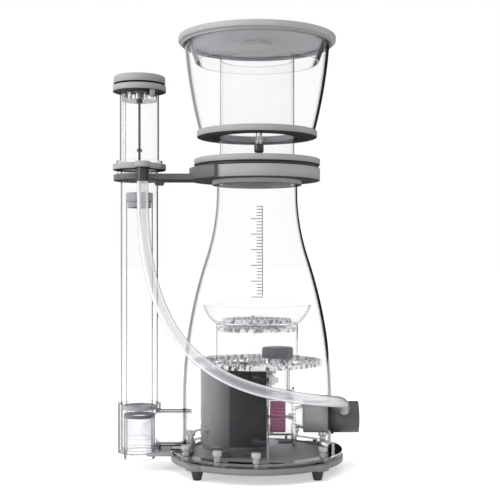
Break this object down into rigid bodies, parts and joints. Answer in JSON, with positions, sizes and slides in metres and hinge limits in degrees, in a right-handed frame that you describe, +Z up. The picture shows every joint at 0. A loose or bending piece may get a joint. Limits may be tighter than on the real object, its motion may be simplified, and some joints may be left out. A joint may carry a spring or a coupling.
{
  "type": "protein skimmer",
  "caption": "In-sump protein skimmer: clear bottle-shaped body on a footed base, lift-off collection cup, internal needle-wheel pump and side riser with adjustable outlet.",
  "frame": {"origin": "middle of the footprint, on the floor under the rubber feet", "axes": "+Z up; the outlet riser stands on the -X side, the pump intake points to +X, and the air hose passes the front on the -Y side"},
  "size_m": [0.3292, 0.2345, 0.5778],
  "materials": {
    "clear_acrylic": "polished cast acrylic tube and sheet",
    "clear_fittings": "clear moulded screws",
    "grey_pvc": "machined light grey PVC, fine satin",
    "arm_pvc": "darker grey PVC",
    "black_rubber": "black rubber",
    "black_plastic": "black moulded plastic",
    "motor_casing": "dark grey moulded motor case",
    "pump_grey": "mid grey moulded pump fittings",
    "needle_wheel": "magenta moulded plastic",
    "ceramic": "polished ceramic shaft",
    "magnet_black": "coated magnet",
    "silicone_hose": "milky silicone hose",
    "grey_lead": "grey flexible lead"
  },
  "bodies": {
    "main_unit": {"air_hose": "silicone_hose", "base_plate": "grey_pvc", "base_thumbscrews": "clear_fittings", "body_collar": "grey_pvc", "body_flange": "clear_acrylic", "body_neck": "clear_acrylic", "bubble_plate": "clear_acrylic", "bubble_tube": "clear_acrylic", "cable_gland": "black_plastic", "centre_bolt": "clear_fittings", "collar_seal_ring": "black_rubber", "diffuser_dish": "clear_acrylic", "diffuser_plates": "clear_acrylic", "duct": "clear_acrylic", "duct_support_plate": "grey_pvc", "hose_nozzle": "black_plastic", "intake_fitting": "pump_grey", "intake_pipe": "pump_grey", "intake_wall_seal": "black_rubber", "motor_cable": "grey_lead", "motor_housing": "motor_casing", "outlet_cap": "pump_grey", "outlet_spigot": "clear_acrylic", "outlet_tee": "clear_acrylic", "pump_outlet_tube": "clear_acrylic", "pump_stand": "clear_acrylic", "reaction_body": "clear_acrylic", "riser_tube": "clear_acrylic", "rubber_feet": "black_rubber", "shaft_bushings": "clear_fittings", "silencer_base_ring": "grey_pvc", "silencer_plug": "clear_fittings", "silencer_screws": "clear_fittings", "silencer_top_ring": "grey_pvc", "silencer_tube": "clear_acrylic", "spigot_seal": "black_rubber", "spindle_gland": "black_plastic", "standpipe_guide": "grey_pvc", "support_arm": "arm_pvc", "volute_back_plate": "clear_acrylic", "volute_cover": "clear_acrylic", "volute_ring": "clear_acrylic", "volute_screws": "clear_fittings"},
    "collection_cup": {"cup_collar": "grey_pvc", "cup_floor": "grey_pvc", "cup_wall": "clear_acrylic", "drain_nipple": "clear_fittings", "neck_tube": "clear_acrylic"},
    "cup_lid": {"lid_disc": "grey_pvc", "lid_seal": "grey_pvc", "lid_skirt": "clear_acrylic"},
    "drain_stopper": {"drain_cap": "black_plastic"},
    "knob_and_screw": {"level_knob": "grey_pvc", "spindle": "black_plastic"},
    "sliding_pipe": {"standpipe": "clear_acrylic", "standpipe_nut": "grey_pvc"},
    "rotor": {"impeller": "needle_wheel", "impeller_shaft": "ceramic", "rotor_magnet": "magnet_black"},
    "clamp_screw": {"arm_thumbscrew": "black_plastic"}
  },
  "joints": [
    {"name": "cup_lift", "type": "slide", "parent": "main_unit", "child": "collection_cup", "axis": [0, 0, 1], "range_m": [0, 0.08]},
    {"name": "lid_lift", "type": "slide", "parent": "collection_cup", "child": "cup_lid", "axis": [0, 0, 1], "range_m": [0, 0.05]},
    {"name": "drain_cap_turn", "type": "hinge", "parent": "collection_cup", "child": "drain_stopper", "pos_m": [0.03095, -0.066, 0.42], "axis": [0, 0, 1], "range_deg": [-180, 180]},
    {"name": "level_turn", "type": "hinge", "parent": "main_unit", "child": "knob_and_screw", "pos_m": [-0.12905, 0, 0.52], "axis": [0, 0, 1], "range_deg": [-360, 450]},
    {"name": "standpipe_slide", "type": "slide", "parent": "main_unit", "child": "sliding_pipe", "axis": [0, 0, 1], "range_m": [-0.0201, 0.0251]},
    {"name": "impeller_spin", "type": "hinge", "parent": "main_unit", "child": "rotor", "pos_m": [0.02895, 0, 0.0685], "axis": [1, 0, 0], "continuous": true},
    {"name": "clamp_screw_turn", "type": "hinge", "parent": "main_unit", "child": "clamp_screw", "pos_m": [-0.10055, -0.018, 0.385], "axis": [0, 0, 1], "range_deg": [-180, 180]}
  ],
  "couplings": [
    {"joint": "standpipe_slide", "follows": "level_turn", "m_per_rad": 0.0031831}
  ]
}
